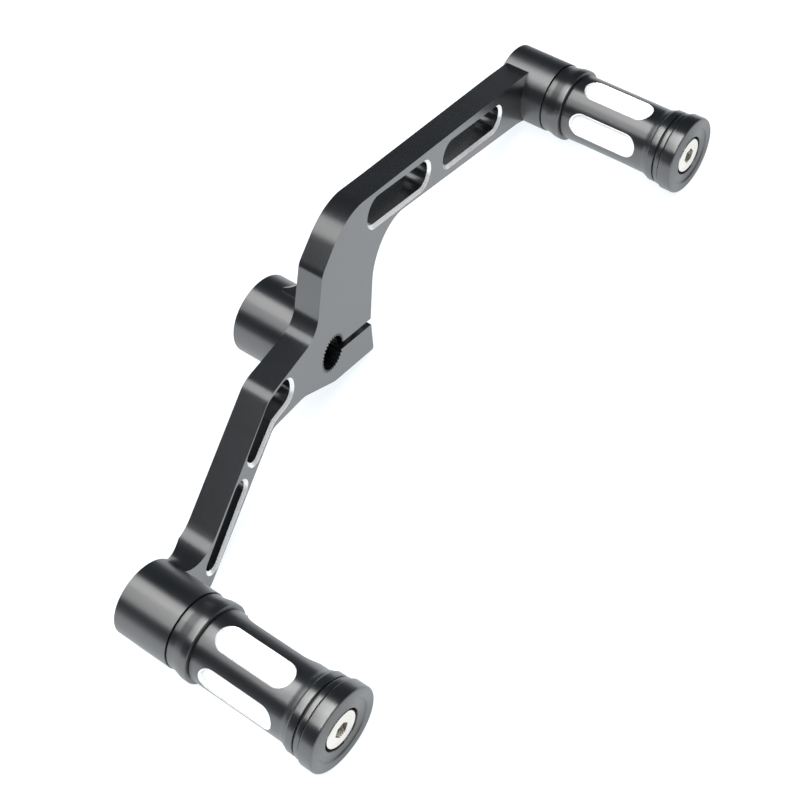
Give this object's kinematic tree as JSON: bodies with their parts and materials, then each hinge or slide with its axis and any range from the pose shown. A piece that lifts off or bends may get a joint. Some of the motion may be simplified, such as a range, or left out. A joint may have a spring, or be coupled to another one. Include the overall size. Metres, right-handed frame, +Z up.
{
  "type": "gear shift lever",
  "caption": "Heel and toe motorcycle gear shift lever: a slotted billet arm with a splined pinch-clamp hub and a free-turning windowed foot peg at each end.",
  "frame": {"origin": "on the shift shaft's axis, where it leaves the front face of the arm", "axes": "+X from the toe peg to the heel peg, +Y inboard along the shaft (the pegs point to -Y), +Z up"},
  "size_m": [0.3407, 0.145, 0.0841],
  "materials": {
    "black_anodised": "black anodised, satin machined",
    "bare_aluminium": "bright turned, left bare",
    "zinc_steel": "zinc plated",
    "bronze": "sintered, oiled",
    "black_rubber": "matte"
  },
  "bodies": {
    "lever": {"lever_arm": "black_anodised", "pinch_screw": "zinc_steel", "pinch_washer": "zinc_steel", "toe_peg_screw": "zinc_steel", "toe_head_washer": "zinc_steel", "toe_spacer_tube": "zinc_steel", "toe_thrust_washer": "zinc_steel", "heel_peg_screw": "zinc_steel", "heel_head_washer": "zinc_steel", "heel_spacer_tube": "zinc_steel", "heel_thrust_washer": "zinc_steel"},
    "toe_peg": {"toe_inner_collar": "black_anodised", "toe_collar_o_ring": "black_rubber", "toe_barrel": "black_anodised", "toe_core_sleeve": "bare_aluminium", "toe_inner_bushing": "bronze", "toe_outer_bushing": "bronze", "toe_neck_ring": "black_anodised", "toe_cap_o_ring": "black_rubber", "toe_end_cap": "black_anodised"},
    "heel_peg": {"heel_inner_collar": "black_anodised", "heel_collar_o_ring": "black_rubber", "heel_barrel": "black_anodised", "heel_core_sleeve": "bare_aluminium", "heel_inner_bushing": "bronze", "heel_outer_bushing": "bronze", "heel_neck_ring": "black_anodised", "heel_cap_o_ring": "black_rubber", "heel_end_cap": "black_anodised"}
  },
  "joints": [
    {"name": "toe_peg_spin", "type": "hinge", "parent": "lever", "child": "toe_peg", "pos_m": [-0.1224, -0.06, -0.0126], "axis": [0, 1, 0], "continuous": true},
    {"name": "heel_peg_spin", "type": "hinge", "parent": "lever", "child": "heel_peg", "pos_m": [0.1833, -0.01, -0.0126], "axis": [0, 1, 0], "continuous": true}
  ]
}
